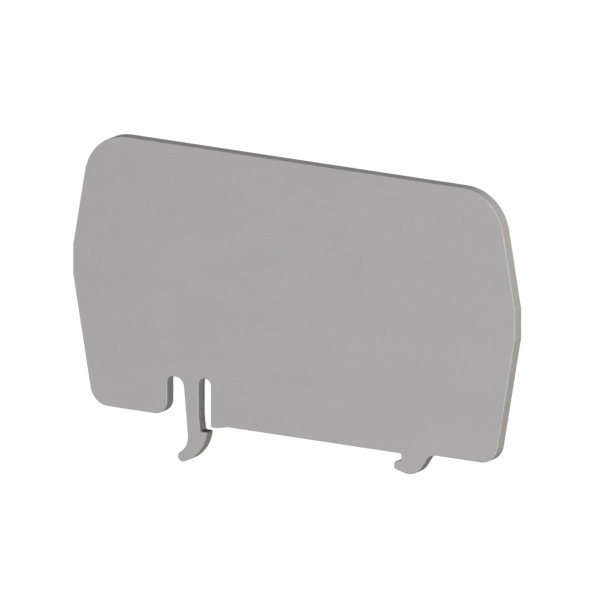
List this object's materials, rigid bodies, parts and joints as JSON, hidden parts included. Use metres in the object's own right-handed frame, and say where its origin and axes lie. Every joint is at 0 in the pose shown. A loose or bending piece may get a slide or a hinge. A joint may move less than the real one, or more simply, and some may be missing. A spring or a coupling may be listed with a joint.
{
  "type": "terminal block end cover",
  "caption": "Thin flat end cover plate with rounded top corners and a clip-on foot, a sprung latch leg facing a fixed hook, for a 35 mm top-hat rail.",
  "frame": {"origin": "on the rail's face, midway between the rail's two edges and midway through the plate", "axes": "+X across the rail towards the fixed hook, +Y along the rail towards the back face, +Z away from the rail"},
  "size_m": [0.0771, 0.002, 0.0487],
  "materials": {
    "housing": "fine spark-eroded moulded texture, light grey"
  },
  "bodies": {
    "root": {"end_cover": "housing"}
  },
  "joints": []
}
